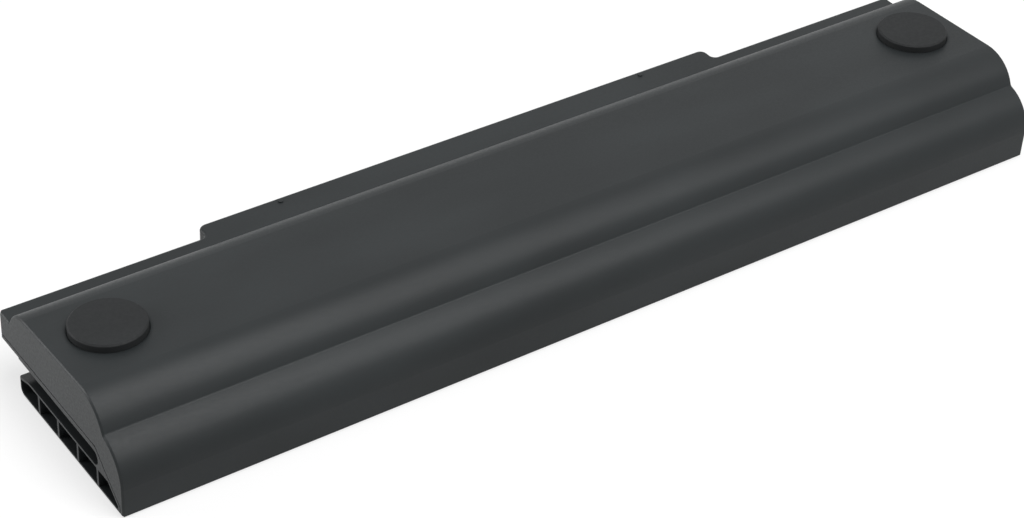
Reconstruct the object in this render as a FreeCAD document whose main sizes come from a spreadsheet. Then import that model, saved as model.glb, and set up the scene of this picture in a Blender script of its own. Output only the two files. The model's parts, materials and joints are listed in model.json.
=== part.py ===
import FreeCAD, Part
import math
import os
import Sketcher
from FreeCAD import Placement, Rotation, Vector

# Removable battery pack of a notebook computer, in millimetres.
# It lies on its flat side. X runs along its length, Y from the rolled front to the rear tongue, Z up.
# The origin is under the middle of the pack. Inside each part, Y is counted from the front edge,
# and the part's Placement carries that edge to its place.

SIZES = (
    # name, value, what it is
    ("pack_length", 272.0, "end face to end face"),
    ("tongue_reach", 64.5, "front edge to the tongue's back edge, the whole depth"),
    ("wing_reach", 59.65, "front edge to the wing's back edge"),
    ("base_reach", 50.3, "front edge to the back wall of the base"),
    ("wing_underside", 10.4, "height of the wing's underside"),
    ("wing_top", 18.1, "height of the wing's top"),
    ("crown_place", 18.4, "front edge to the front end of the flat top"),
    ("crown_height", 25.15, "height of the flat top's front end"),
    ("top_fall", 2.5, "fall of the flat top towards the rear, in degrees"),
    ("upper_roll", 10.6, "radius of the upper roll at the front"),
    ("lower_roll", 10.6, "radius of the lower roll at the front"),
    ("lower_roll_height", 7.9, "height of the lower roll's centre"),
    ("crest_roll", 8.8, "radius of the crest behind the flat top"),
    ("crest_place", 46.1, "front edge to the rear end of the flat top"),
    ("wall", 1.4, "wall of both covers"),
    ("end_bevel", 0.4, "bevel round each end face"),
    ("wing_top_round", 0.8, "rounding of the wing's upper back edge"),
    ("wing_under_round", 1.8, "rounding of the wing's lower back edge"),
    ("base_back_round", 2.2, "rounding of the base's lower back edge"),
    ("front_foot_round", 0.5, "rounding of the front wall's lower edge"),
    ("fold_round", 0.8, "inner rounding of the fold between the two rolls"),
    ("crest_foot_round", 0.6, "inner rounding where the crest meets the wing's top"),
    ("wing_corner", 1.2, "cut-off outer corners of the wing, seen from above"),
    ("tongue_middle", -3.1, "the tongue's middle, from the pack's middle"),
    ("tongue_length", 155.8, "the tongue's length"),
    ("tongue_corner", 2.1, "outer corners of the tongue, seen from above"),
    ("tongue_root", 1.5, "inner corners beside the tongue, seen from above"),
    ("pip_spread", 55.4, "moulded pip to the tongue's middle"),
    ("pip_setback", 1.2, "moulded pip to the tongue's back edge"),
    ("pip_diameter", 1.2, "moulded pip"),
    ("pip_height", 0.3, "moulded pip"),
    ("seam_height", 11.8, "height of the seam between the covers"),
    ("seam_toe", 2.2, "height where the seam leaves the front wall, at the ends"),
    ("seam_turn", 12.4, "front edge to the seam's turn, at the ends"),
    ("seam_turn_round", 3.0, "rounding of that turn"),
    ("seam_groove_width", 0.3, "groove along the seam"),
    ("seam_groove_depth", 0.35, "groove along the seam"),
    ("fit_gap", 0.1, "gap between the inner cover's lip and the outer cover's wall"),
    ("lip_wall", 0.9, "thickness of the inner cover's lip"),
    ("lip_height", 1.4, "how far the lip stands above the seam"),
    ("lip_front", 15.0, "front edge to the front ends of the lip"),
    ("slot_depth", 4.3, "guide slot and rib pockets, measured from the end face"),
    ("slot_floor", 6.3, "height of the guide slot's floor"),
    ("slot_front", 11.2, "front edge to the guide slot's closed end"),
    ("slot_mouth_run", 5.0, "length of the ramp at the guide slot's open end"),
    ("slot_mouth_drop", 1.3, "drop of that ramp"),
    ("block_wall", 1.0, "wall behind the guide slot and the rib pockets"),
    ("block_rim", 0.8, "rim round the rib pockets"),
    ("web", 0.55, "web between the guide slot and the rib pockets"),
    ("first_rib", 11.7, "front edge to the first rib"),
    ("rib_pitch", 9.57, "rib to rib"),
    ("rib_width", 0.8, "thickness of a rib"),
    ("rib_count", 4.0, "ribs in each end block"),
    ("foot_diameter", 18.6, "rubber foot"),
    ("foot_rise", 2.0, "how far a foot stands above the flat top"),
    ("foot_edge_bevel", 0.4, "bevel of a foot's upper edge"),
    ("foot_place", 33.5, "front edge to the feet's centres"),
    ("left_foot_inset", 15.1, "left end face to the left foot's centre"),
    ("right_foot_inset", 14.3, "right end face to the right foot's centre"),
    ("foot_seat_depth", 0.6, "round seat of a foot"),
    ("foot_seat_gap", 0.15, "gap round a foot in its seat"),
    ("cell_diameter", 18.3, "lithium-ion cell in its sleeve"),
    ("cell_length", 65.0, "lithium-ion cell, button included"),
    ("cell_row_gap", 0.2, "gap between the two rows of cells"),
    ("front_row", 16.3, "front edge to the front row's axis"),
    ("cell_lift", 0.5, "floor to the cells' underside"),
    ("cradle_height", 4.0, "cradle ribs above the floor"),
    ("cradle_width", 1.2, "cradle rib"),
    ("cradle_spread", 20.0, "cradle rib to the middle of its cell"),
    ("can_length", 64.2, "base of the cell to its crimped rim"),
    ("button_diameter", 5.8, "positive button"),
    ("card_hole", 6.6, "eight-sided hole in an insulator card, round the button"),
    ("card_width", 13.6, "insulator card, up and down"),
    ("card_thickness", 0.3, "insulator card"),
    ("card_corner", 4.0, "cut-off corners of an insulator card"),
    ("strip_thickness", 0.15, "nickel strip"),
    ("strip_width", 8.0, "nickel strip"),
    ("strip_overhang", 5.0, "strip's front end, in front of the front row's axis"),
    ("tail_width", 4.0, "solder tail of a strip"),
    ("tail_reach", 45.4, "front edge to the solder tail's fold"),
    ("tail_tab", 4.0, "folded tab of the solder tail"),
    ("board_length", 96.0, "circuit board"),
    ("board_front", 47.0, "front edge to the board's front edge"),
    ("board_back", 58.6, "front edge to the board's back edge"),
    ("board_thickness", 1.0, "circuit board"),
    ("board_lift", 0.5, "bosses under the board"),
    ("boss_diameter", 4.4, "boss under the board"),
    ("pin_diameter", 2.0, "pin through the board"),
    ("pin_gap", 0.1, "gap round the pin in the board's hole"),
    ("pin_rise", 0.8, "pin above the board"),
    ("pin_spread", 43.0, "pin to the board's middle"),
    ("pin_place", 52.6, "front edge to the pins"),
    ("plug_length", 34.0, "connector housing"),
    ("plug_height", 4.7, "connector housing"),
    ("plug_depth", 5.6, "connector housing"),
    ("plug_setback", 0.2, "connector face behind the tongue's back edge"),
    ("plug_gap", 0.15, "gap round the connector in its window"),
    ("plug_slot_count", 8.0, "slots of the connector"),
    ("plug_slot_pitch", 3.9, "slots of the connector"),
    ("plug_slot_width", 1.2, "slots of the connector"),
    ("plug_slot_depth", 4.4, "slots of the connector"),
    ("plug_slot_rim", 0.6, "material above a slot"),
    ("contact_width", 0.8, "contact blade"),
    ("contact_leaf", 0.25, "thickness of a contact's foot on the board"),
    ("contact_foot", 3.4, "length of a contact's foot on the board"),
    ("latch_spread", 62.0, "latch pocket to the tongue's middle"),
    ("latch_width", 12.0, "latch pocket"),
    ("latch_height", 2.4, "latch pocket"),
    ("latch_depth", 2.6, "latch pocket"),
    ("contact_blade", 2.6, "contact blade along its slot"),
    ("contact_rise", 2.2, "contact blade above the board"),
    ("main_lead", 1.8, "diameter of a main lead"),
    ("sense_lead", 1.0, "diameter of a thin lead"),
    ("thermistor_place", 13.2, "the thermistor, from the pack's middle"),
    ("bead_diameter", 2.6, "thermistor bead"),
    ("bead_length", 5.0, "thermistor bead"),
    ("foam_width", 3.6, "foam strip on the cells"),
    ("foam_inset", 6.0, "foam strip, short of the cell stack at each end"),
)

doc = FreeCAD.newDocument("laptop_battery")
sizes = doc.addObject("Spreadsheet::Sheet", "Sizes")
for row, (alias, amount, meaning) in enumerate(SIZES, start=1):
    sizes.set("A%d" % row, alias)
    sizes.set("B%d" % row, str(amount))
    sizes.set("C%d" % row, meaning)
    sizes.setAlias("B%d" % row, alias)
doc.recompute()


def tied(text):
    """An expression of size names, written for the document: names get the sheet's name in front."""
    words = sorted((size[0] for size in SIZES), key=len, reverse=True)
    out = ""
    place = 0
    while place < len(text):
        word = next((w for w in words if text.startswith(w, place)), None)
        before = text[place - 1] if place else " "
        if word and not (before.isalnum() or before == "_"):
            after = text[place + len(word):place + len(word) + 1]
            if not (after.isalnum() or after == "_"):
                out += "Sizes." + word
                place += len(word)
                continue
        out += text[place]
        place += 1
    return out


def amount_of(text):
    return float(sizes.evalExpression(tied(text)))


# Heights and places that several parts share, as expressions of the sizes above.
FLAT_TOP = "(crown_height - tan(top_fall) * ({0} - crown_place))"
FLOOR_TOP = "wall"
BACK_WALL_FACE = "(base_reach - wall)"
PLATE_TOP = "(wing_underside + wall)"
WING_CEILING = "(wing_top - wall)"
LIP_TOP = "(seam_height + lip_height)"
END_BLOCK = "(slot_depth + block_wall)"
CELL_HEIGHT = "(wall + cell_lift + cell_diameter / 2)"
REAR_ROW = "(front_row + cell_diameter + cell_row_gap)"
STACK = "(4 * cell_length + 5 * strip_thickness)"
BOARD_BOTTOM = "(wing_underside + wall + board_lift)"
BOARD_TOP = "(wing_underside + wall + board_lift + board_thickness)"


def new_body(name):
    body = doc.addObject("PartDesign::Body", name)
    body.Label = name
    body.setExpression("Placement.Base.y", tied("-tongue_reach / 2"))
    return body


def new_sketch(body, name, role, offset=None):
    """A sketch on one of the body's own origin planes, moved along the plane's normal by offset."""
    sketch = body.newObject("Sketcher::SketchObject", body.Name + "_" + name)
    plane = next(item for item in body.Origin.OriginFeatures if item.Role == role)
    sketch.AttachmentSupport = (plane, [""])
    sketch.MapMode = "FlatFace"
    if offset:
        sketch.setExpression("AttachmentOffset.Base.z", tied(offset))
    return sketch


def constrain(sketch, kind, *terms, size=None):
    if size is None:
        return sketch.addConstraint(Sketcher.Constraint(kind, *terms))
    index = sketch.addConstraint(Sketcher.Constraint(kind, *terms, amount_of(size)))
    sketch.setExpression("Constraints[%d]" % index, tied(size))
    return index


def pin(sketch, line, end, across, up):
    """Ties one point of the sketch to its distances from the origin."""
    constrain(sketch, "DistanceX", -1, 1, line, end, size=across)
    constrain(sketch, "DistanceY", -1, 1, line, end, size=up)


def add_polygon(sketch, corners):
    points = [Vector(amount_of(across), amount_of(up), 0) for across, up in corners]
    first = sketch.GeometryCount
    count = len(points)
    for index in range(count):
        sketch.addGeometry(Part.LineSegment(points[index], points[(index + 1) % count]))
    for index in range(count):
        constrain(sketch, "Coincident", first + index, 2, first + (index + 1) % count, 1)
    for index, (across, up) in enumerate(corners):
        pin(sketch, first + index, 1, across, up)


def add_rectangle(sketch, left, right, low, high):
    add_polygon(sketch, ((left, low), (right, low), (right, high), (left, high)))


def add_circle(sketch, across, up, diameter):
    centre = Vector(amount_of(across), amount_of(up), 0)
    line = sketch.addGeometry(Part.Circle(centre, Vector(0, 0, 1), amount_of(diameter) / 2))
    pin(sketch, line, 3, across, up)
    constrain(sketch, "Diameter", line, size=diameter)


def add_arc(sketch, across, up, radius, start, end):
    """An arc, counterclockwise from the direction of start to that of end, with its centre tied."""
    centre = Vector(amount_of(across), amount_of(up), 0)
    circle = Part.Circle(centre, Vector(0, 0, 1), amount_of(radius))
    turns = [math.atan2(point.y - centre.y, point.x - centre.x) for point in (start, end)]
    line = sketch.addGeometry(Part.ArcOfCircle(circle, turns[0], turns[1]))
    pin(sketch, line, 3, across, up)
    constrain(sketch, "Radius", line, size=radius)
    return line


def extrude(body, kind, sketch, length, both_ways=False, reverse=False):
    """Pads or pockets a sketch by length. Checks that a pocket takes material away."""
    before = body.Shape.Volume if kind == "Pocket" else 0
    feature = body.newObject("PartDesign::" + kind, sketch.Name + "_" + kind.lower())
    feature.Profile = sketch
    feature.Midplane = both_ways
    feature.Reversed = reverse
    feature.setExpression("Length", tied(length))
    doc.recompute()
    if kind == "Pocket" and body.Shape.Volume > before - 1e-6:
        raise RuntimeError(feature.Name + " cuts nothing")
    return feature


def round_off(body, name, amount, is_wanted, kind="Fillet"):
    """Fillets or chamfers the edges that is_wanted accepts, given each one's middle and direction."""
    tip = body.Tip
    names = []
    for index, edge in enumerate(tip.Shape.Edges, start=1):
        middle = edge.valueAt((edge.FirstParameter + edge.LastParameter) / 2)
        along = edge.tangentAt((edge.FirstParameter + edge.LastParameter) / 2)
        if is_wanted(middle, along):
            names.append("Edge%d" % index)
    if not names:
        raise RuntimeError(name + " finds no edge")
    feature = body.newObject("PartDesign::" + kind, body.Name + "_" + name)
    feature.Base = (tip, names)
    feature.setExpression("Radius" if kind == "Fillet" else "Size", tied(amount))
    doc.recompute()
    return feature


NEAR = 0.01


def lengthwise_at(place, height):
    """Accepts edges along X at a place and height."""
    y, z = amount_of(place), amount_of(height)

    def accept(middle, along):
        return abs(along.x) > 0.999 and abs(middle.y - y) < NEAR and abs(middle.z - z) < NEAR
    return accept


def upright_at(across, place):
    """Accepts upright edges at a distance across and a place."""
    x, y = amount_of(across), amount_of(place)

    def accept(middle, along):
        return abs(along.z) > 0.999 and abs(middle.x - x) < NEAR and abs(middle.y - y) < NEAR
    return accept


def any_of(*tests):
    return lambda middle, along: any(test(middle, along) for test in tests)


def circles_meet(centre_a, radius_a, centre_b, radius_b):
    """The upper left one of the two points where the circles meet."""
    line = centre_b - centre_a
    apart = line.Length
    share = (radius_a ** 2 - radius_b ** 2 + apart ** 2) / (2 * apart)
    rise = math.sqrt(radius_a ** 2 - share ** 2)
    foot = centre_a + line * (share / apart)
    side = Vector(-line.y, line.x, 0) * (rise / apart)
    return max(foot + side, foot - side, key=lambda point: point.y)


def draw_section(sketch, inset, wing_level, lower_corners):
    """The pack's cross-section, moved inwards by inset.

    Up the front wall, over the lower roll, the upper roll, the flat top and the crest, along the
    wing, and back through lower_corners, of which the last is the foot of the front wall.
    """
    def place_on_top(place, radius):
        across = "%s - %s * sin(top_fall)" % (place, radius)
        up = "%s - %s * cos(top_fall)" % (FLAT_TOP.format(place), radius)
        return across, up

    lower = ("lower_roll", "lower_roll_height")
    upper = place_on_top("crown_place", "upper_roll")
    crest = place_on_top("crest_place", "crest_roll")
    centres = [Vector(amount_of(x), amount_of(y), 0) for x, y in (lower, upper, crest)]
    radii = [amount_of("%s - %s" % (name, inset)) for name in ("lower_roll", "upper_roll", "crest_roll")]
    fold = circles_meet(centres[0], radii[0], centres[1], radii[1])
    up_normal = Vector(math.sin(math.radians(amount_of("top_fall"))),
                       math.cos(math.radians(amount_of("top_fall"))), 0)
    crown = centres[1] + up_normal * radii[1]
    brow = centres[2] + up_normal * radii[2]
    level = amount_of(wing_level)
    run = math.sqrt(radii[2] ** 2 - (level - centres[2].y) ** 2)
    crest_foot = Vector(centres[2].x + run, level, 0)
    front_foot = Vector(amount_of(lower_corners[-1][0]), amount_of(lower_corners[-1][1]), 0)
    front_top = Vector(amount_of(inset), centres[0].y, 0)

    wall = sketch.addGeometry(Part.LineSegment(front_foot, front_top))
    low_arc = add_arc(sketch, lower[0], lower[1], "lower_roll - " + inset, fold, front_top)
    high_arc = add_arc(sketch, upper[0], upper[1], "upper_roll - " + inset, crown, fold)
    top = sketch.addGeometry(Part.LineSegment(crown, brow))
    crest_arc = add_arc(sketch, crest[0], crest[1], "crest_roll - " + inset, crest_foot, brow)
    corners = (("wing_reach - " + inset, wing_level),) + tuple(lower_corners)
    points = [crest_foot]
    points += [Vector(amount_of(across), amount_of(up), 0) for across, up in corners]
    lines = [sketch.addGeometry(Part.LineSegment(a, b)) for a, b in zip(points, points[1:])]

    constrain(sketch, "Coincident", wall, 2, low_arc, 2)
    constrain(sketch, "Horizontal", low_arc, 2, low_arc, 3)
    constrain(sketch, "Coincident", low_arc, 1, high_arc, 2)
    constrain(sketch, "Tangent", high_arc, 1, top, 1)
    constrain(sketch, "Tangent", top, 2, crest_arc, 2)
    constrain(sketch, "Coincident", crest_arc, 1, lines[0], 1)
    constrain(sketch, "DistanceY", -1, 1, lines[0], 1, size=wing_level)
    for line, following in zip(lines, lines[1:]):
        constrain(sketch, "Coincident", line, 2, following, 1)
    constrain(sketch, "Coincident", lines[-1], 2, wall, 1)
    for line, (across, up) in zip(lines, corners):
        pin(sketch, line, 2, across, up)


def tongue_edge(side, inset="0"):
    """Distance across of one end of the tongue, moved inwards by inset."""
    if side < 0:
        return "tongue_middle - tongue_length / 2 + " + inset
    return "tongue_middle + tongue_length / 2 - " + inset


def wing_outline(inset, front):
    """The wing and tongue seen from above, moved inwards by inset and ending at front."""
    corners = []
    for side in (-1, 1):
        end = "-pack_length / 2 + " + inset if side < 0 else "pack_length / 2 - " + inset
        half = [
            (end, front),
            (end, "wing_reach - " + inset),
            (tongue_edge(side, inset), "wing_reach - " + inset),
            (tongue_edge(side, inset), "tongue_reach - " + inset),
        ]
        corners += half if side < 0 else half[::-1]
    return corners


def fold_edge(middle, along):
    """Accepts the crease between the two rolls."""
    if abs(along.x) < 0.999:
        return False
    low = Vector(0, amount_of("lower_roll"), amount_of("lower_roll_height"))
    high = Vector(0, amount_of("crown_place - upper_roll * sin(top_fall)"),
                  amount_of("crown_height - upper_roll * cos(top_fall)"))
    flat = Vector(0, middle.y, middle.z)
    on_low = abs((flat - low).Length - amount_of("lower_roll")) < NEAR
    return on_low and abs((flat - high).Length - amount_of("upper_roll")) < NEAR


def pack_form(body):
    """The whole pack's outer form as one solid, with its rounded edges."""
    section = new_sketch(body, "section", "YZ_Plane")
    draw_section(section, "0", "wing_top", (
        ("wing_reach", "wing_underside"),
        ("base_reach", "wing_underside"),
        ("base_reach", "0"),
        ("0", "0"),
    ))
    extrude(body, "Pad", section, "pack_length", both_ways=True)

    tongue = new_sketch(body, "tongue", "XY_Plane", "wing_underside")
    add_rectangle(tongue, tongue_edge(-1), tongue_edge(1), "wing_reach - wing_top_round", "tongue_reach")
    extrude(body, "Pad", tongue, "wing_top - wing_underside")

    tips = [upright_at(tongue_edge(side), "tongue_reach") for side in (-1, 1)]
    round_off(body, "tongue_tips", "tongue_corner", any_of(*tips))
    roots = [upright_at(tongue_edge(side), "wing_reach") for side in (-1, 1)]
    round_off(body, "tongue_roots", "tongue_root", any_of(*roots))

    behind = amount_of("wing_reach - wing_top_round")

    def back_edge_at(height):
        z = amount_of(height)

        def accept(middle, along):
            if abs(middle.z - z) > NEAR or abs(along.z) > NEAR or middle.y < behind:
                return False
            return abs(abs(middle.x) - amount_of("pack_length / 2")) > NEAR
        return accept

    round_off(body, "wing_top_edge", "wing_top_round", back_edge_at("wing_top"))
    round_off(body, "wing_low_edge", "wing_under_round", back_edge_at("wing_underside"))
    round_off(body, "base_back_edge", "base_back_round", lengthwise_at("base_reach", "0"))
    round_off(body, "front_foot_edge", "front_foot_round", lengthwise_at("0", "0"))

    top = amount_of("wing_top")

    def crest_foot(middle, along):
        return abs(along.x) > 0.999 and abs(middle.z - top) < NEAR and middle.y < behind

    round_off(body, "crest_foot_edge", "crest_foot_round", crest_foot)
    round_off(body, "fold_edge", "fold_round", fold_edge)

    end = amount_of("pack_length / 2")
    low = amount_of("wing_underside + wing_under_round")

    def end_edge(middle, along):
        if abs(abs(middle.x) - end) > NEAR or abs(along.x) > NEAR:
            return False
        return middle.z > low or (middle.y < amount_of("lower_roll / 2") and middle.z > NEAR)

    round_off(body, "end_edges", "end_bevel", end_edge, kind="Chamfer")

    for side in (-1, 1):
        corner = new_sketch(body, "wing_corner_%d" % (side + 1), "XY_Plane", "crown_height")
        face = side_plane(side)
        add_polygon(corner, (
            (face, "wing_reach - wing_corner"),
            ("%s - %d * wing_corner" % (face, side), "wing_reach"),
            ("%s + %d * wall" % (face, side), "wing_reach + wall"),
        ))
        extrude(body, "Pocket", corner, "crown_height")


def shift_along(body, across):
    body.setExpression("Placement.Base.x", tied(across))


SEAM_FRONT = "(wall + fit_gap)"
SEAM_SLOPE = "atan2(seam_height - seam_toe; seam_turn - wall - fit_gap)"


def seam_corners(rise):
    """The two corners where the seam turns at an end face, moved outwards by rise."""
    return (
        ("%s - %s" % (SEAM_FRONT, rise), "seam_toe + %s * tan(45 deg - %s / 2)" % (rise, SEAM_SLOPE)),
        ("seam_turn - %s * tan(%s / 2)" % (rise, SEAM_SLOPE), "seam_height + %s" % rise),
    )


def side_plane(side):
    return "pack_length / 2" if side > 0 else "-pack_length / 2"


def make_outer_cover():
    body = new_body("outer_cover")
    pack_form(body)

    hollow = new_sketch(body, "hollow", "YZ_Plane")
    draw_section(hollow, "wall", WING_CEILING, (("wing_reach - wall", "-wall"), ("wall", "-wall")))
    extrude(body, "Pocket", hollow, "pack_length - 2 * wall", both_ways=True)
    well = new_sketch(body, "tongue_well", "XY_Plane", WING_CEILING)
    add_rectangle(well, tongue_edge(-1, "wall"), tongue_edge(1, "wall"), "base_reach", "tongue_reach - wall")
    extrude(body, "Pocket", well, WING_CEILING)

    below = new_sketch(body, "seam", "YZ_Plane")
    foot, turn = seam_corners("0")
    beyond = "tongue_reach + wall"
    add_polygon(below, ((foot[0], "-wall"), foot, turn, (beyond, "seam_height"), (beyond, "-wall")))
    extrude(body, "Pocket", below, "pack_length + wall", both_ways=True)
    round_off(body, "seam_turn", "seam_turn_round", lengthwise_at("seam_turn", "seam_height"))

    for side in (-1, 1):
        groove = new_sketch(body, "end_groove_%d" % (side + 1), "YZ_Plane", side_plane(side))
        foot, turn = seam_corners("seam_groove_width")
        top = "seam_height + seam_groove_width"
        add_polygon(groove, ((foot[0], "-wall"), foot, turn, (beyond, top), (beyond, "-wall")))
        extrude(body, "Pocket", groove, "seam_groove_depth", reverse=side < 0)
    tuck = "wing_under_round - sqrt(wing_under_round^2 - (wing_under_round - seam_height + wing_underside)^2)"
    groove = new_sketch(body, "back_groove", "XY_Plane", "seam_height + seam_groove_width")
    outside = wing_outline("(-wall)", "base_reach")
    inside = wing_outline("(seam_groove_depth + %s)" % tuck, "base_reach")
    add_polygon(groove, outside + inside[::-1])
    extrude(body, "Pocket", groove, "seam_groove_width")

    for name, across in FOOT_PLACES:
        seat = new_sketch(body, name + "_seat", "XY_Plane")
        lay_on_flat_top(seat, "AttachmentOffset", across, "0")
        add_circle(seat, "0", "0", "foot_diameter + 2 * foot_seat_gap")
        extrude(body, "Pocket", seat, "foot_seat_depth")

    for side in (-1, 1):
        middle = "tongue_middle %+d * latch_spread" % side
        boss = new_sketch(body, "latch_boss_%d" % (side + 1), "XY_Plane", LIP_TOP + " + fit_gap")
        half = "(latch_width / 2 + wall)"
        add_rectangle(boss, middle + " - " + half, middle + " + " + half,
                      "tongue_reach - wall - latch_depth", "tongue_reach - wall / 2")
        extrude(body, "Pad", boss, WING_CEILING + " - " + LIP_TOP)
        pocket = new_sketch(body, "latch_%d" % (side + 1), "XZ_Plane", "-tongue_reach")
        low = "(%s + lip_wall)" % LIP_TOP
        add_rectangle(pocket, middle + " - latch_width / 2", middle + " + latch_width / 2",
                      low, low + " + latch_height")
        extrude(body, "Pocket", pocket, "latch_depth", reverse=True)
        pip = new_sketch(body, "pip_%d" % (side + 1), "XY_Plane", "wing_top")
        add_circle(pip, "tongue_middle %+d * pip_spread" % side, "tongue_reach - pip_setback - pip_diameter / 2",
                   "pip_diameter")
        extrude(body, "Pad", pip, "pip_height")

    window = new_sketch(body, "window", "XZ_Plane", "-(tongue_reach - 2 * wall)")
    half = "(plug_length / 2 + plug_gap)"
    add_rectangle(window, "tongue_middle - " + half, "tongue_middle + " + half,
                  PLATE_TOP + " - plug_gap", PLATE_TOP + " + plug_height + plug_gap")
    extrude(body, "Pocket", window, "3 * wall")
    return body


FOOT_PLACES = (
    ("foot_left", "-pack_length / 2 + left_foot_inset"),
    ("foot_right", "pack_length / 2 - right_foot_inset"),
)


def lay_on_flat_top(item, name, across, depth, front="0"):
    """Places item on the sloping flat top at the feet's distance from the front, sunk by depth."""
    turn = Rotation(Vector(-1, 0, 0), amount_of("top_fall"))
    setattr(item, name, Placement(Vector(0, 0, 0), turn))
    item.setExpression(name + ".Rotation.Angle", tied("top_fall"))
    item.setExpression(name + ".Base.x", tied(across))
    place = "foot_place - %s * sin(top_fall) - %s" % (depth, front)
    item.setExpression(name + ".Base.y", tied(place))
    item.setExpression(name + ".Base.z", tied(FLAT_TOP.format("foot_place") + " - %s * cos(top_fall)" % depth))


def make_foot(name, across):
    body = new_body(name)
    lay_on_flat_top(body, "Placement", across, "foot_seat_depth", front="tongue_reach / 2")
    disc = new_sketch(body, "disc", "XY_Plane")
    add_circle(disc, "0", "0", "foot_diameter")
    extrude(body, "Pad", disc, "foot_seat_depth + foot_rise")
    top = amount_of("foot_seat_depth + foot_rise")
    upper_edge = lambda middle, along: abs(middle.z - top) < NEAR
    round_off(body, "upper_edge", "foot_edge_bevel", upper_edge, kind="Chamfer")
    return body


def make_inner_cover(limit):
    body = new_body("inner_tray")
    block = new_sketch(body, "block", "YZ_Plane")
    foot, turn = seam_corners("0")
    add_polygon(block, (
        (foot[0], "0"), foot, turn,
        ("wing_reach", "seam_height"),
        ("wing_reach", "wing_underside"),
        ("base_reach", "wing_underside"),
        ("base_reach", "0"),
    ))
    extrude(body, "Pad", block, "pack_length", both_ways=True)
    round_off(body, "seam_turn", "seam_turn_round", lengthwise_at("seam_turn", "seam_height"))

    rim = new_sketch(body, "tongue_rim", "XY_Plane", "wing_underside")
    add_rectangle(rim, tongue_edge(-1), tongue_edge(1), "base_reach", "tongue_reach")
    extrude(body, "Pad", rim, "seam_height - wing_underside")
    plate = new_sketch(body, "plate", "XY_Plane", "wing_underside")
    add_polygon(plate, wing_outline(SEAM_FRONT, BACK_WALL_FACE))
    extrude(body, "Pad", plate, "wall")
    lip = new_sketch(body, "lip", "XY_Plane", "wing_underside")
    outside = wing_outline(SEAM_FRONT, "lip_front")
    inside = wing_outline("(wall + fit_gap + lip_wall)", "lip_front")
    add_polygon(lip, outside + inside[::-1])
    extrude(body, "Pad", lip, LIP_TOP + " - wing_underside")

    hollow = new_sketch(body, "hollow", "YZ_Plane")
    front = SEAM_FRONT + " + lip_wall"
    add_rectangle(hollow, front, BACK_WALL_FACE, FLOOR_TOP, LIP_TOP + " + wall")
    extrude(body, "Pocket", hollow, "pack_length - 2 * " + END_BLOCK, both_ways=True)

    ribs = new_sketch(body, "cradles", "XY_Plane", FLOOR_TOP)
    for column in range(4):
        for side in (-1, 1):
            across = "%s %+d * cradle_spread" % (column_middle(column), side)
            add_rectangle(ribs, across + " - cradle_width / 2", across + " + cradle_width / 2",
                          front, REAR_ROW + " + cell_diameter / 2")
    extrude(body, "Pad", ribs, "cradle_height")
    bed = new_sketch(body, "cradle_bed", "YZ_Plane")
    for row_place in ("front_row", REAR_ROW):
        add_circle(bed, row_place, CELL_HEIGHT, "cell_diameter")
    extrude(body, "Pocket", bed, "pack_length - 2 * " + END_BLOCK, both_ways=True)

    bosses = new_sketch(body, "bosses", "XY_Plane", PLATE_TOP)
    pins = new_sketch(body, "pins", "XY_Plane", BOARD_BOTTOM)
    for side in (-1, 1):
        across = "tongue_middle %+d * pin_spread" % side
        add_circle(bosses, across, "pin_place", "boss_diameter")
        add_circle(pins, across, "pin_place", "pin_diameter")
    extrude(body, "Pad", bosses, "board_lift")
    extrude(body, "Pad", pins, "board_thickness + pin_rise")
    gate = new_sketch(body, "plug_gate", "XY_Plane", LIP_TOP)
    half = "(plug_length / 2 + plug_gap)"
    add_rectangle(gate, "tongue_middle - " + half, "tongue_middle + " + half,
                  "tongue_reach - wall - 2 * lip_wall", "tongue_reach - wall")
    extrude(body, "Pocket", gate, LIP_TOP + " - " + PLATE_TOP)

    for side in (-1, 1):
        cut_end_block(body, side)

    cover = doc.addObject("Part::Common", "inner_cover")
    cover.Label = "inner_cover"
    cover.Base = body
    cover.Tool = limit
    return cover


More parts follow.
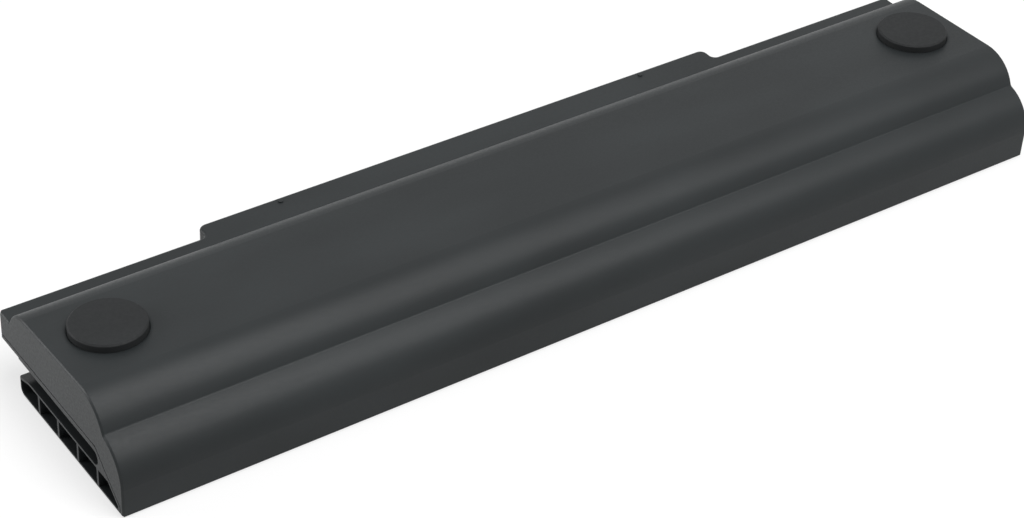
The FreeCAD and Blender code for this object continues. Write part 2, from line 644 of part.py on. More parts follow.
def cut_end_block(body, side):
    """The guide slot and the ribbed pockets in one end face."""
    tag = "%d" % (side + 1)
    ramp = "base_reach - slot_mouth_run"
    ramp_foot = "slot_floor - slot_mouth_drop"
    slot = new_sketch(body, "slot_" + tag, "YZ_Plane", side_plane(side))
    add_polygon(slot, (
        ("slot_front", "slot_floor"),
        (ramp, "slot_floor"),
        ("base_reach", ramp_foot),
        ("base_reach + wall", ramp_foot),
        ("base_reach + wall", "wing_underside"),
        ("slot_front", "wing_underside"),
    ))
    extrude(body, "Pocket", slot, "slot_depth", reverse=side < 0)
    pocket_top = "(slot_floor - web)"
    slope_foot = "(%s + block_rim * sin(%s))" % (SEAM_FRONT, SEAM_SLOPE)
    slope_run = "(%s - seam_toe + block_rim * cos(%s)) / tan(%s)" % (pocket_top, SEAM_SLOPE, SEAM_SLOPE)
    pockets = new_sketch(body, "pockets_" + tag, "YZ_Plane", side_plane(side))
    add_polygon(pockets, (
        (SEAM_FRONT + " + block_rim", "block_rim"),
        (SEAM_FRONT + " + block_rim", "seam_toe - block_rim * tan(45 deg - %s / 2)" % SEAM_SLOPE),
        (slope_foot + " + " + slope_run, pocket_top),
        (ramp, pocket_top),
        ("base_reach - block_rim", ramp_foot + " - web"),
        ("base_reach - block_rim", "block_rim"),
    ))
    extrude(body, "Pocket", pockets, "slot_depth", reverse=side < 0)

    on_this_side = lambda test: lambda middle, along: middle.x * side > 0 and test(middle, along)
    corner = lengthwise_at("base_reach - block_rim", "block_rim")
    round_off(body, "pocket_back_" + tag, "base_back_round - block_rim", on_this_side(corner))
    brows = (lengthwise_at(ramp, "slot_floor"), lengthwise_at(ramp, pocket_top))
    round_off(body, "slot_brow_" + tag, "slot_mouth_run", on_this_side(any_of(*brows)))
    ends = [lengthwise_at("slot_front", height) for height in ("slot_floor", "wing_underside")]
    round_off(body, "slot_end_" + tag, "(wing_underside - slot_floor) * 0.48", on_this_side(any_of(*ends)))

    ribs = new_sketch(body, "ribs_" + tag, "YZ_Plane", side_plane(side))
    for index in range(int(amount_of("rib_count"))):
        middle = "first_rib + %d * rib_pitch" % index
        add_rectangle(ribs, middle + " - rib_width / 2", middle + " + rib_width / 2", "block_rim", pocket_top)
    extrude(body, "Pad", ribs, "slot_depth", reverse=side > 0)


def column_start(column):
    """Distance across of the base of the cells in a column, counted from 0 at the left."""
    return "(-%s / 2 + strip_thickness + %d * (cell_length + strip_thickness))" % (STACK, column)


def column_middle(column):
    return "(%s + cell_length / 2)" % column_start(column)


def make_cell(name, column, row_place):
    body = new_body(name)
    shift_along(body, column_start(column))
    body.setExpression("Placement.Base.y", tied(row_place + " - tongue_reach / 2"))
    body.setExpression("Placement.Base.z", tied(CELL_HEIGHT))
    outline = new_sketch(body, "outline", "XY_Plane")
    add_polygon(outline, (
        ("0", "0"),
        ("0", "cell_diameter / 2"),
        ("can_length", "cell_diameter / 2"),
        ("can_length", "button_diameter / 2"),
        ("cell_length", "button_diameter / 2"),
        ("cell_length", "0"),
    ))
    turned = body.newObject("PartDesign::Revolution", name + "_turned")
    turned.Profile = outline
    turned.ReferenceAxis = (outline, ["H_Axis"])
    turned.Angle = 360
    doc.recompute()
    return body


def make_card(name, column):
    """Insulator card on the rims of a column's two cells, with a hole for each button."""
    body = new_body(name)
    shift_along(body, column_start(column) + " + can_length")
    outline = new_sketch(body, "outline", "YZ_Plane")
    near, far = "front_row - card_width / 2", REAR_ROW + " + card_width / 2"
    low, high = CELL_HEIGHT + " - card_width / 2", CELL_HEIGHT + " + card_width / 2"
    add_polygon(outline, (
        (near + " + card_corner", low), (far + " - card_corner", low),
        (far, low + " + card_corner"), (far, high + " - card_corner"),
        (far + " - card_corner", high), (near + " + card_corner", high),
        (near, high + " - card_corner"), (near, low + " + card_corner"),
    ))
    half, cut = "card_hole / 2", "card_hole / 2 * tan(22.5)"
    for row_place in ("front_row", REAR_ROW):
        ring = ((half, cut), (cut, half), ("-" + cut, half), ("-" + half, cut),
                ("-" + half, "-" + cut), ("-" + cut, "-" + half), (cut, "-" + half), (half, "-" + cut))
        add_polygon(outline, [(row_place + " + " + y, CELL_HEIGHT + " + " + z) for y, z in ring])
    extrude(body, "Pad", outline, "card_thickness")
    return body


def make_strip(name, index):
    """Strip 0 is at the stack's left end and strip 4 at its right end."""
    body = new_body(name)
    shift_along(body, column_start(index) + " - strip_thickness")
    flat = new_sketch(body, "flat", "YZ_Plane")
    low, high = CELL_HEIGHT + " - strip_width / 2", CELL_HEIGHT + " + strip_width / 2"
    tail_low, tail_high = CELL_HEIGHT + " - tail_width / 2", CELL_HEIGHT + " + tail_width / 2"
    shoulder = REAR_ROW + " + strip_overhang"
    add_polygon(flat, (
        ("front_row - strip_overhang", low), (shoulder, low), (shoulder, tail_low),
        ("tail_reach", tail_low), ("tail_reach", tail_high),
        (shoulder, tail_high), (shoulder, high), ("front_row - strip_overhang", high),
    ))
    extrude(body, "Pad", flat, "strip_thickness")
    last = index == 4
    tab = new_sketch(body, "tab", "YZ_Plane", "strip_thickness" if last else None)
    add_rectangle(tab, "tail_reach - strip_thickness", "tail_reach", tail_low, tail_high)
    extrude(body, "Pad", tab, "tail_tab", reverse=last)
    return body


def make_board():
    body = new_body("circuit_board")
    outline = new_sketch(body, "outline", "XY_Plane", BOARD_BOTTOM)
    add_rectangle(outline, "tongue_middle - board_length / 2", "tongue_middle + board_length / 2",
                  "board_front", "board_back")
    for side in (-1, 1):
        add_circle(outline, "tongue_middle %+d * pin_spread" % side, "pin_place", "pin_diameter + 2 * pin_gap")
    extrude(body, "Pad", outline, "board_thickness")
    return body


PLUG_FACE = "(tongue_reach - plug_setback)"


def slot_middles():
    count = int(amount_of("plug_slot_count"))
    return ["(tongue_middle + (%d - (plug_slot_count - 1) / 2) * plug_slot_pitch)" % index
            for index in range(count)]


def make_plug():
    housing = new_body("connector_housing")
    block = new_sketch(housing, "block", "XY_Plane", PLATE_TOP)
    add_rectangle(block, "tongue_middle - plug_length / 2", "tongue_middle + plug_length / 2",
                  PLUG_FACE + " - plug_depth", PLUG_FACE)
    extrude(housing, "Pad", block, "plug_height")
    slots = new_sketch(housing, "slots", "XZ_Plane", "-" + PLUG_FACE)
    ways = new_sketch(housing, "contact_ways", "XZ_Plane", "-" + PLUG_FACE)
    for middle in slot_middles():
        add_rectangle(slots, middle + " - plug_slot_width / 2", middle + " + plug_slot_width / 2",
                      PLATE_TOP + " + plug_slot_rim", PLATE_TOP + " + plug_height - plug_slot_rim")
        add_rectangle(ways, middle + " - contact_width / 2", middle + " + contact_width / 2",
                      BOARD_TOP, BOARD_TOP + " + contact_leaf")
    extrude(housing, "Pocket", slots, "plug_slot_depth", reverse=True)
    extrude(housing, "Pocket", ways, "plug_depth", reverse=True)

    contacts = new_body("connector_contacts")
    leaves = new_sketch(contacts, "leaves", "XY_Plane", BOARD_TOP)
    blades = new_sketch(contacts, "blades", "XY_Plane", BOARD_TOP)
    slot_end = "(%s - plug_slot_depth)" % PLUG_FACE
    for middle in slot_middles():
        left, right = middle + " - contact_width / 2", middle + " + contact_width / 2"
        add_rectangle(leaves, left, right, "board_back - contact_foot", slot_end + " + contact_blade")
        add_rectangle(blades, left, right, slot_end + " + contact_leaf", slot_end + " + contact_blade")
    extrude(contacts, "Pad", leaves, "contact_leaf")
    extrude(contacts, "Pad", blades, "contact_rise")
    return [housing, contacts]


# Parts on the board: name, distance across from the board's middle, place of the middle from the
# board's front edge, length, width, height, legs on each long side.
CHIPS = (
    ("gauge_chip", -18.0, 3.6, 9.7, 4.4, 1.1, 10),
    ("protection_chip", 8.0, 4.0, 3.0, 3.0, 0.9, 4),
    ("charge_transistor", 22.5, 4.6, 5.0, 4.0, 1.5, 4),
    ("discharge_transistor", 30.5, 4.6, 5.0, 4.0, 1.5, 4),
)
LEG = (0.3, 0.9, 0.2)


def make_chip(name, across, place, length, width, height, legs):
    body = new_body(name)
    shift_along(body, "tongue_middle + %s" % across)
    middle = "(board_front + %s)" % place
    case = new_sketch(body, "case", "XY_Plane", BOARD_TOP)
    low, high = "%s - %s / 2" % (middle, width), "%s + %s / 2" % (middle, width)
    add_rectangle(case, "-%s / 2" % length, "%s / 2" % length, low, high)
    extrude(body, "Pad", case, str(height))
    leg_width, leg_reach, leg_thickness = LEG
    feet = new_sketch(body, "legs", "XY_Plane", BOARD_TOP)
    pitch = length / legs
    for index in range(legs):
        centre = (index - (legs - 1) / 2) * pitch
        left, right = str(centre - leg_width / 2), str(centre + leg_width / 2)
        add_rectangle(feet, left, right, low + " - %s" % leg_reach, low + " + %s" % leg_thickness)
        add_rectangle(feet, left, right, high + " - %s" % leg_thickness, high + " + %s" % leg_reach)
    extrude(body, "Pad", feet, str(leg_thickness))
    return body


# Blocks on the board: name, distance across, place, length, width, height of the body and of its ends.
BLOCKS = (
    ("fuse", 38.2, 7.2, 4.0, 3.0, 1.0, 1.2),
    ("sense_resistor", -34.5, 5.2, 6.3, 3.2, 0.6, 0.7),
)
BLOCK_END = 0.9


def make_block(name, across, place, length, width, height, end_height):
    body = new_body(name)
    shift_along(body, "tongue_middle + %s" % across)
    middle = "(board_front + %s)" % place
    low, high = "%s - %s / 2" % (middle, width), "%s + %s / 2" % (middle, width)
    case = new_sketch(body, "case", "XY_Plane", BOARD_TOP)
    add_rectangle(case, "-%s / 2" % length, "%s / 2" % length, low, high)
    extrude(body, "Pad", case, str(height))
    ends = new_sketch(body, "ends", "XY_Plane", BOARD_TOP)
    add_rectangle(ends, "-%s / 2" % length, "-%s / 2 + %s" % (length, BLOCK_END), low, high)
    add_rectangle(ends, "%s / 2 - %s" % (length, BLOCK_END), "%s / 2" % length, low, high)
    extrude(body, "Pad", ends, str(end_height))
    return body


CAPACITORS = ((-8.0, 2.0), (-8.0, 4.2), (-8.0, 8.0), (1.8, 2.2), (1.8, 5.0), (13.5, 2.2))
CAPACITOR = (2.0, 1.25, 0.9)


def make_capacitors():
    body = new_body("capacitors")
    shift_along(body, "tongue_middle")
    length, width, height = CAPACITOR
    outline = new_sketch(body, "outline", "XY_Plane", BOARD_TOP)
    for across, place in CAPACITORS:
        add_rectangle(outline, str(across - length / 2), str(across + length / 2),
                      "board_front + %s" % (place - width / 2), "board_front + %s" % (place + width / 2))
    extrude(body, "Pad", outline, str(height))
    return body


LEAD_SIDES = 12


def tube(name, route, diameter):
    """A round lead through points given as triples of expressions, drawn with LEAD_SIDES sides."""
    front = amount_of("tongue_reach") / 2
    points = [Vector(amount_of(x), amount_of(y) - front, amount_of(z)) for x, y, z in route]
    path = Part.makePolygon(points)
    radius = amount_of(diameter) / 2
    heading = (points[1] - points[0]).normalize()
    aside = heading.cross(Vector(0, 0, 1) if abs(heading.z) < 0.9 else Vector(1, 0, 0)).normalize()
    upwards = heading.cross(aside)
    ring = []
    for index in range(LEAD_SIDES + 1):
        turn = 2 * math.pi * (index % LEAD_SIDES) / LEAD_SIDES
        ring.append(points[0] + aside * radius * math.cos(turn) + upwards * radius * math.sin(turn))
    feature = doc.addObject("Part::Feature", name)
    feature.Label = name
    feature.Shape = path.makePipeShell([Part.makePolygon(ring)], True, False, 1)
    expected = math.pi * radius ** 2 * path.Length
    if abs(feature.Shape.Volume / expected - 1) > 0.1:
        raise RuntimeError("%s has a bad volume" % name)
    return feature


def make_leads():
    """Two main leads and three sense leads, each from a strip's tab to the board."""
    leads = []
    tab = "tail_reach + {0} / 2"
    for name, side, strip in (("negative_lead", -1, 0), ("positive_lead", 1, 4)):
        start = column_start(strip) + " - strip_thickness %+d * (tail_tab / 4)" % -side
        board_end = "tongue_middle %+d * board_length / 2" % side
        leads.append(tube(name, (
            (start, tab.format("main_lead"), CELL_HEIGHT),
            (start + " %+d * 5" % -side, "tail_reach + 1.6", CELL_HEIGHT + " - 3"),
            (board_end + " %+d * 12" % side, "tail_reach + 1.6", CELL_HEIGHT + " - 3"),
            (board_end + " %+d * 5" % side, "board_front + 0.4", BOARD_TOP + " + main_lead / 2"),
            (board_end + " %+d * 5" % -side, "board_front + 1.8", BOARD_TOP + " + main_lead / 2"),
        ), "main_lead"))
    for number, side in ((1, -1), (3, 1)):
        start = column_start(number) + " + tail_tab / 2"
        board_end = "tongue_middle %+d * board_length / 2" % side
        leads.append(tube("sense_lead_%d" % number, (
            (start, tab.format("sense_lead"), CELL_HEIGHT + " + 0.6"),
            (start + " %+d * 4" % -side, "tail_reach + 0.9", BOARD_TOP + " + 2.6"),
            (board_end + " %+d * 1" % side, "board_front + 3.2", BOARD_TOP + " + 2.6"),
            (board_end + " %+d * 9" % -side, "board_front + 3.2", BOARD_TOP + " + sense_lead / 2"),
        ), "sense_lead"))
    middle = column_start(2) + " + tail_tab / 2"
    leads.append(tube("sense_lead_2", (
        (middle, tab.format("sense_lead"), CELL_HEIGHT),
        (middle, "tail_reach + 0.6", BOARD_TOP + " + 3"),
        (middle, "board_front + 2.2", BOARD_TOP + " + sense_lead / 2"),
    ), "sense_lead"))
    return leads


VALLEY = "(front_row + (cell_diameter + cell_row_gap) / 2)"


def make_thermistor():
    """A bead in the valley between the rows and its lead over the rear row to the board."""
    bead = new_body("thermistor")
    shift_along(bead, "thermistor_place - bead_length / 2")
    outline = new_sketch(bead, "outline", "YZ_Plane")
    add_circle(outline, VALLEY, BEAD_HEIGHT, "bead_diameter")
    extrude(bead, "Pad", outline, "bead_length")
    over = CELL_HEIGHT + " + cell_diameter / 2 + sense_lead"
    lead = tube("thermistor_lead", (
        ("thermistor_place", VALLEY, BEAD_HEIGHT + " + bead_diameter / 2"),
        ("thermistor_place", VALLEY, over),
        ("thermistor_place", "tail_reach + 0.8", over),
        ("thermistor_place", "board_front + 5", BOARD_TOP + " + sense_lead / 2"),
    ), "sense_lead")
    return [bead, lead]


BEAD_APART = "(cell_diameter / 2 + bead_diameter / 2 + fit_gap)"
BEAD_HEIGHT = "(%s + sqrt(%s^2 - ((cell_diameter + cell_row_gap) / 2)^2))" % (CELL_HEIGHT, BEAD_APART)


def make_foam(name, row_place, near, left, right):
    """A strip whose underside is pressed onto a row of cells, with its top against the cover."""
    body = new_body(name)
    outline = new_sketch(body, "outline", "YZ_Plane", left)
    far = "(%s + foam_width)" % near
    ceiling = FLAT_TOP + " - wall / cos(top_fall)"
    surface = "(%s + sqrt((cell_diameter / 2)^2 - ({0} - %s)^2))" % (CELL_HEIGHT, row_place)
    corners = [(place, up.format(place)) for place, up in
               ((near, ceiling), (near, surface), (far, surface), (far, ceiling))]
    points = [Vector(amount_of(across), amount_of(up), 0) for across, up in corners]
    sides = [outline.addGeometry(Part.LineSegment(points[a], points[b])) for a, b in ((0, 1), (2, 3), (3, 0))]
    arc = add_arc(outline, row_place, CELL_HEIGHT, "cell_diameter / 2", points[2], points[1])
    constrain(outline, "Coincident", sides[0], 2, arc, 2)
    constrain(outline, "Coincident", arc, 1, sides[1], 1)
    constrain(outline, "Coincident", sides[1], 2, sides[2], 1)
    constrain(outline, "Coincident", sides[2], 2, sides[0], 1)
    constrain(outline, "DistanceX", -1, 1, sides[0], 2, size=near)
    constrain(outline, "DistanceX", -1, 1, sides[1], 1, size=far)
    pin(outline, sides[0], 1, *corners[0])
    pin(outline, sides[2], 1, *corners[3])
    extrude(body, "Pad", outline, "%s - %s" % (right, left))
    return body


def check_document():
    for item in doc.Objects:
        if "Invalid" in item.State or "Error" in item.State:
            raise RuntimeError("%s failed: %s" % (item.Name, item.State))


def main():
    limit = new_body("pack_limit")
    pack_form(limit)
    parts = [make_outer_cover(), make_inner_cover(limit)]
    parts += [make_foot(name, across) for name, across in FOOT_PLACES]
    number = 0
    for row_place in ("front_row", REAR_ROW):
        for column in range(4):
            number += 1
            parts.append(make_cell("cell_%d" % number, column, row_place))
    parts += [make_card("insulator_card_%d" % (column + 1), column) for column in range(4)]
    strips = ("negative_strip", "link_strip_1", "link_strip_2", "link_strip_3", "positive_strip")
    parts += [make_strip(name, index) for index, name in enumerate(strips)]
    parts.append(make_board())
    parts += make_plug()
    parts += [make_chip(*chip) for chip in CHIPS]
    parts += [make_block(*block) for block in BLOCKS]
    parts.append(make_capacitors())
    parts += make_leads()
    parts += make_thermistor()
    left, right = "(-%s / 2 + foam_inset)" % STACK, "(%s / 2 - foam_inset)" % STACK
    gap = "thermistor_place %+d * 2 * sense_lead"
    middle = "(%s - foam_width / 2)" % REAR_ROW
    parts.append(make_foam("foam_strip_front", "front_row", "(crown_place + fit_gap)", left, right))
    parts.append(make_foam("foam_strip_rear_left", REAR_ROW, middle, left, "(%s)" % (gap % -1)))
    parts.append(make_foam("foam_strip_rear_right", REAR_ROW, middle, "(%s)" % (gap % 1), right))

    doc.recompute()
    check_document()
    os.makedirs("parts", exist_ok=True)
    for part in parts:
        if part.Shape.isNull() or not part.Shape.isValid():
            raise RuntimeError("%s is not a valid solid" % part.Label)
    for part in parts:
        part.Shape.exportStep("parts/%s.step" % part.Label)
        print("%-22s %2d solids %10.1f mm3" % (part.Label, len(part.Shape.Solids), part.Shape.Volume))


main()
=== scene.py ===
import json

import bpy
from mathutils import Euler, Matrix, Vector

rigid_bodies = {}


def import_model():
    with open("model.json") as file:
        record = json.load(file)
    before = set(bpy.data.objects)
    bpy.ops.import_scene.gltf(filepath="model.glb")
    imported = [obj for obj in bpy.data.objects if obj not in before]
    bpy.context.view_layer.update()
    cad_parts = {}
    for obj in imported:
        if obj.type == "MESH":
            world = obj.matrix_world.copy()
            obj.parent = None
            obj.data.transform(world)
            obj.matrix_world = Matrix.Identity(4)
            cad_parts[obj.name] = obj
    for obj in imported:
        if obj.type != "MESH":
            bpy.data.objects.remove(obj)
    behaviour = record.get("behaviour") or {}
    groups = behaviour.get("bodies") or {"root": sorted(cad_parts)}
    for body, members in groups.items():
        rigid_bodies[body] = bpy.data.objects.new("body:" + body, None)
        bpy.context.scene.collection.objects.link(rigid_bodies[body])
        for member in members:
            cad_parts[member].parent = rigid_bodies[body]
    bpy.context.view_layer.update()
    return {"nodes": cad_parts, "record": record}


# Laptop battery: materials, camera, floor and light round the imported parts. Everything is in metres.

for thing in list(bpy.data.objects):
    bpy.data.objects.remove(thing)

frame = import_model()
nodes = frame["nodes"]
MM = 0.001


# Materials

def new_material(name):
    """A new material with its node tree and its shader."""
    material = bpy.data.materials.new(name)
    material.use_nodes = True
    tree = material.node_tree
    return material, tree, tree.nodes["Principled BSDF"]


def add(tree, kind, **values):
    """A node of that kind, with its settings and sockets given by name, with _ for a space."""
    node = tree.nodes.new(kind)
    for key, value in values.items():
        if hasattr(node, key):
            setattr(node, key, value)
        else:
            node.inputs[key.replace("_", " ")].default_value = value
    return node


def place_in(tree):
    """Coordinates in the row frame, the same for every piece."""
    return add(tree, "ShaderNodeTexCoord").outputs["Object"]


def noise(tree, place, size, detail=3.0, roughness=0.55, stretch=None):
    """Noise whose features are about size metres across, or longer along an axis with stretch under 1."""
    if stretch:
        mapping = add(tree, "ShaderNodeMapping", Scale=stretch)
        tree.links.new(place, mapping.inputs["Vector"])
        place = mapping.outputs["Vector"]
    made = add(tree, "ShaderNodeTexNoise", Scale=1 / size, Detail=detail, Roughness=roughness)
    tree.links.new(place, made.inputs["Vector"])
    return made.outputs["Fac"]


def ramp(tree, value, low, high, start=0.35, end=0.65):
    """Runs from low to high while value runs from start to end, and stays level outside."""
    made = add(tree, "ShaderNodeMapRange", From_Min=start, From_Max=end, To_Min=low, To_Max=high)
    tree.links.new(value, made.inputs["Value"])
    return made.outputs["Result"]


def mixed(tree, factor, first, second):
    """The first colour where factor is 0 and the second where it is 1."""
    made = add(tree, "ShaderNodeMix", data_type="RGBA", A=(*first, 1), B=(*second, 1))
    tree.links.new(factor, made.inputs["Factor"])
    return made.outputs["Result"]


def bump(tree, height, depth, under=None):
    """Relief of that depth, on top of the normal under."""
    made = add(tree, "ShaderNodeBump", Distance=depth)
    tree.links.new(height, made.inputs["Height"])
    if under is not None:
        tree.links.new(under, made.inputs["Normal"])
    return made.outputs["Normal"]


def moulded(name, colour, roughness, edge=0.3 * MM, grain=0.22 * MM, relief=0.006 * MM, specular=0.5,
            painted_crease_shade=0.0):
    """Moulded plastic: spark-eroded grain, faint flow in the colour, specks in the gloss, softened edges.

    Where a distance is given for it, the gloss fades in folds that are narrower than that distance: this is
    painted shade, set by ambient occlusion and not by the lamps.
    """
    flow_size = 18 * MM
    along_flow = (0.35, 1, 1)
    speck_size = grain * 3
    fold_start, fold_end = 0.6, 0.95
    material, tree, shader = new_material(name)
    place = place_in(tree)
    flow = noise(tree, place, flow_size, detail=2.0, stretch=along_flow)
    speck = noise(tree, place, speck_size, detail=2.0)
    darker = tuple(c * 0.86 for c in colour)
    lighter = tuple(c * 1.1 for c in colour)
    tree.links.new(mixed(tree, ramp(tree, flow, 0, 1), darker, lighter), shader.inputs["Base Color"])
    tree.links.new(ramp(tree, speck, roughness - 0.04, roughness + 0.05), shader.inputs["Roughness"])
    shader.inputs["Specular IOR Level"].default_value = specular
    if painted_crease_shade:
        # Painted shade: ambient occlusion dims the gloss in narrow folds.
        occlusion_for_painted_shade = add(tree, "ShaderNodeAmbientOcclusion", samples=8, Distance=painted_crease_shade)
        gloss = ramp(tree, occlusion_for_painted_shade.outputs["AO"], specular * 0.2, specular, fold_start, fold_end)
        tree.links.new(gloss, shader.inputs["Specular IOR Level"])
    soft = add(tree, "ShaderNodeBevel", samples=6, Radius=edge)
    fine = noise(tree, place, grain, detail=3.0, roughness=0.7)
    tree.links.new(bump(tree, fine, relief, under=soft.outputs["Normal"]), shader.inputs["Normal"])
    return material


def metal(name, colour, roughness, brushed=(1, 1, 1)):
    """Bare metal with fine rolling marks and slight stains."""
    stain_size = 3 * MM
    mark_size, mark_depth = 0.12 * MM, 0.004 * MM
    material, tree, shader = new_material(name)
    place = place_in(tree)
    stain = noise(tree, place, stain_size, detail=3.0)
    marks = noise(tree, place, mark_size, detail=2.0, stretch=brushed)
    stained = tuple(c * 0.82 for c in colour)
    tree.links.new(mixed(tree, ramp(tree, stain, 0, 1), stained, colour), shader.inputs["Base Color"])
    shader.inputs["Metallic"].default_value = 1.0
    tree.links.new(ramp(tree, marks, roughness - 0.08, roughness + 0.1), shader.inputs["Roughness"])
    tree.links.new(bump(tree, marks, mark_depth), shader.inputs["Normal"])
    return material


def board_finish():
    """Solder mask over copper: lighter tracks show through the green."""
    track_pitch, track_share, track_height = 6 * MM, 0.05, 0.03 * MM
    material, tree, shader = new_material("solder_mask")
    brick = add(tree, "ShaderNodeTexBrick", offset=0.5, Scale=1 / track_pitch, Mortar_Size=track_share,
                Color1=(0.01, 0.075, 0.03, 1), Color2=(0.012, 0.09, 0.036, 1),
                Mortar=(0.025, 0.16, 0.065, 1))
    tree.links.new(place_in(tree), brick.inputs["Vector"])
    tree.links.new(brick.outputs["Color"], shader.inputs["Base Color"])
    shader.inputs["Roughness"].default_value = 0.28
    tree.links.new(bump(tree, brick.outputs["Fac"], track_height), shader.inputs["Normal"])
    return material


def card_finish():
    """Pressed card with fibres."""
    fibre_size, fibre_depth = 0.5 * MM, 0.02 * MM
    material, tree, shader = new_material("pressed_card")
    fibre = noise(tree, place_in(tree), fibre_size, detail=4.0, stretch=(1, 0.2, 1))
    base = mixed(tree, ramp(tree, fibre, 0, 1), (0.4, 0.36, 0.25), (0.56, 0.52, 0.4))
    tree.links.new(base, shader.inputs["Base Color"])
    shader.inputs["Roughness"].default_value = 0.85
    tree.links.new(bump(tree, fibre, fibre_depth), shader.inputs["Normal"])
    return material


def foam_finish():
    """Closed-cell foam: small round pores."""
    pore_size, pore_depth = 0.6 * MM, 0.1 * MM
    material, tree, shader = new_material("closed_cell_foam")
    pores = add(tree, "ShaderNodeTexVoronoi", Scale=1 / pore_size)
    tree.links.new(place_in(tree), pores.inputs["Vector"])
    from_middle = pores.outputs["Distance"]
    base = mixed(tree, ramp(tree, from_middle, 0, 1, 0.1, 0.6), (0.03, 0.03, 0.031), (0.012, 0.012, 0.012))
    tree.links.new(base, shader.inputs["Base Color"])
    shader.inputs["Roughness"].default_value = 0.95
    tree.links.new(bump(tree, from_middle, pore_depth), shader.inputs["Normal"])
    return material


finishes = {
    # The cover's folds get painted shade in their gloss.
    "outer_cover": moulded("cover_plastic", (0.015, 0.0173, 0.0182), 0.42, specular=0.165, painted_crease_shade=1.2 * MM),
    "inner_cover": moulded("tray_plastic", (0.0155, 0.0175, 0.0185), 0.44, edge=0.15 * MM, specular=0.2),
    "rubber_foot": moulded("foot_rubber", (0.0102, 0.0112, 0.0118), 0.7, edge=0.2 * MM, grain=0.3 * MM,
                           relief=0.012 * MM, specular=0.2),
    "cell_sleeve": moulded("cell_sleeve", (0.02, 0.11, 0.16), 0.25, grain=1.2 * MM, relief=0.01 * MM),
    "insulator_card": card_finish(),
    "nickel": metal("nickel", (0.66, 0.63, 0.58), 0.32, brushed=(1, 0.05, 1)),
    "foam": foam_finish(),
    "board": board_finish(),
    "connector_plastic": moulded("connector_plastic", (0.013, 0.013, 0.014), 0.5, edge=0.1 * MM),
    "contact_metal": metal("gold_plate", (0.83, 0.6, 0.24), 0.25),
    "chip_plastic": moulded("chip_epoxy", (0.012, 0.012, 0.013), 0.55, edge=0.05 * MM),
    "fuse_ceramic": moulded("ceramic", (0.5, 0.47, 0.4), 0.4, edge=0.05 * MM),
    "resistor": moulded("resistor_epoxy", (0.02, 0.02, 0.022), 0.5, edge=0.05 * MM),
    "capacitor_ceramic": moulded("capacitor_ceramic", (0.24, 0.15, 0.08), 0.45, edge=0.05 * MM),
    "red_wire": moulded("red_silicone", (0.3, 0.012, 0.01), 0.5),
    "black_wire": moulded("black_silicone", (0.014, 0.014, 0.014), 0.5),
    "thin_wire": moulded("wire_sleeve", (0.5, 0.48, 0.42), 0.45),
    "bead": moulded("epoxy_bead", (0.012, 0.012, 0.012), 0.2),
}
for entry in frame["record"]["subparts"]:
    piece = nodes[entry["node"]]
    piece.data.materials.clear()
    piece.data.materials.append(finishes[entry["material_slot"]])


# Floor, light and camera

# Half the floor's width, and the gap between it and the object's underside
FLOOR_HALF, FLOOR_GAP = 3.0, 0.0002
# The share of plain white in what is seen of the floor near the object, and where it rises to all
WHITE_NEAR, FADE_START, FADE_END = 0.68, 0.25, 0.7
# The world's grey as a light
WORLD_LEVEL = 0.3
# Name, place, width, height and watts of each lamp
SOFTBOXES = (
    ("top_light", (0.1, -0.1, 1.5), 1.0, 0.8, 14),
    ("front_light", (0.35, -0.65, 1.05), 0.9, 0.9, 12.5),
    ("low_light", (0.1, -1.3, 0.5), 0.9, 0.5, 1),
    ("left_light", (-1.1, 0.75, 0.4), 0.7, 0.5, 11.8),
)
CAMERA_PLACE = (-0.323263, -0.417665, 0.399638)
CAMERA_TURN = (0.917975, -0.050123, -0.606364)
FOCAL_MM, SENSOR_MM = 91.967, 36


def put_in_scene(name, data):
    thing = bpy.data.objects.new(name, data)
    bpy.context.scene.collection.objects.link(thing)
    return thing


def seen(tree):
    """1 for what the camera sees directly, in a reflection or through something, and 0 for bounced light."""
    path = add(tree, "ShaderNodeLightPath")
    most = path.outputs["Is Camera Ray"]
    for other in ("Is Glossy Ray", "Is Transmission Ray"):
        larger = add(tree, "ShaderNodeMath", operation="MAXIMUM")
        tree.links.new(most, larger.inputs[0])
        tree.links.new(path.outputs[other], larger.inputs[1])
        most = larger.outputs["Value"]
    return most


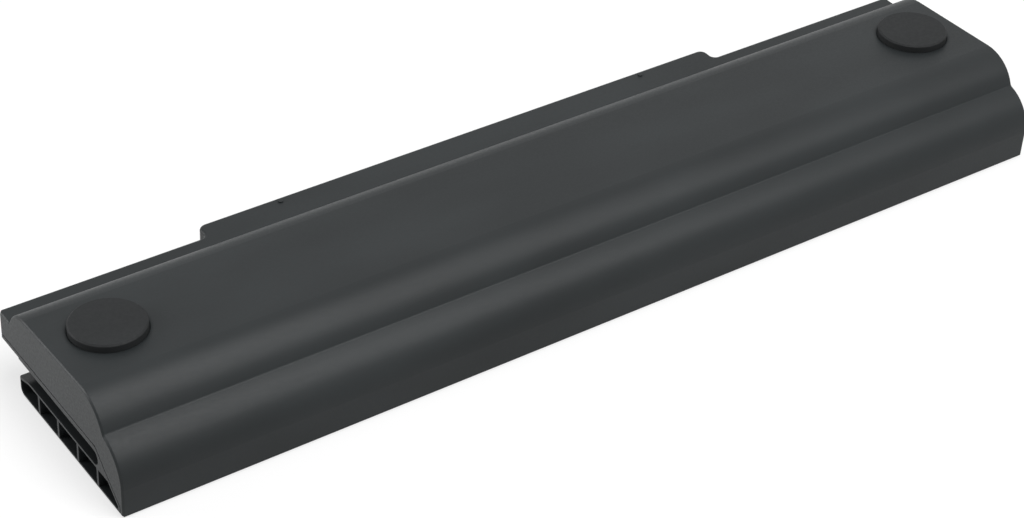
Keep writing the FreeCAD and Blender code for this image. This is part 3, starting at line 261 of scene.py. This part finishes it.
def floor_finish():
    """Pale and matt, seen partly white near the object, where it keeps the shadow, and all white far away."""
    shade_size = 0.4
    material, tree, shader = new_material("pale_floor")
    shade = noise(tree, place_in(tree), shade_size, detail=1.0)
    base = mixed(tree, ramp(tree, shade, 0, 1), (0.74, 0.74, 0.74), (0.76, 0.76, 0.76))
    tree.links.new(base, shader.inputs["Base Color"])
    shader.inputs["Roughness"].default_value = 0.9
    shader.inputs["Specular IOR Level"].default_value = 0.0
    glow = add(tree, "ShaderNodeEmission")
    distance = add(tree, "ShaderNodeVectorMath", operation="LENGTH")
    tree.links.new(place_in(tree), distance.inputs[0])
    white = ramp(tree, distance.outputs["Value"], WHITE_NEAR, 1.0, FADE_START, FADE_END)
    share = add(tree, "ShaderNodeMath", operation="MULTIPLY")
    tree.links.new(seen(tree), share.inputs[0])
    tree.links.new(white, share.inputs[1])
    lit = add(tree, "ShaderNodeMixShader")
    tree.links.new(share.outputs["Value"], lit.inputs[0])
    tree.links.new(shader.outputs["BSDF"], lit.inputs[1])
    tree.links.new(glow.outputs["Emission"], lit.inputs[2])
    tree.links.new(lit.outputs["Shader"], tree.nodes["Material Output"].inputs["Surface"])
    return material


def floor():
    mesh = bpy.data.meshes.new("floor")
    corners = [(x * FLOOR_HALF, y * FLOOR_HALF, 0) for x, y in ((-1, -1), (1, -1), (1, 1), (-1, 1))]
    mesh.from_pydata(corners, [], [(0, 1, 2, 3)])
    mesh.materials.append(floor_finish())
    ground = put_in_scene("floor", mesh)
    ground.location.z = -FLOOR_GAP


def surroundings():
    """White where it is seen, grey as a light."""
    world = bpy.data.worlds.new("studio")
    bpy.context.scene.world = world
    world.use_nodes = True
    tree = world.node_tree
    grey = (WORLD_LEVEL, WORLD_LEVEL, WORLD_LEVEL)
    tree.links.new(mixed(tree, seen(tree), grey, (1, 1, 1)), tree.nodes["Background"].inputs["Color"])


def softbox(name, place, width, height, watts):
    """A rectangular lamp that points at the origin."""
    lamp = bpy.data.lights.new(name, "AREA")
    lamp.shape = "RECTANGLE"
    lamp.size, lamp.size_y = width, height
    lamp.energy = watts
    box = put_in_scene(name, lamp)
    box.location = place
    box.rotation_euler = (-Vector(place)).to_track_quat("-Z", "Y").to_euler()


def camera():
    lens = bpy.data.cameras.new("camera")
    lens.sensor_width = SENSOR_MM
    lens.lens = FOCAL_MM
    lens.clip_start = 0.01
    eye = put_in_scene("camera", lens)
    eye.location = CAMERA_PLACE
    eye.rotation_euler = Euler(CAMERA_TURN, "XYZ")
    bpy.context.scene.camera = eye


floor()
surroundings()
for box_values in SOFTBOXES:
    softbox(*box_values)
camera()
bpy.context.scene.view_settings.view_transform = "Standard"
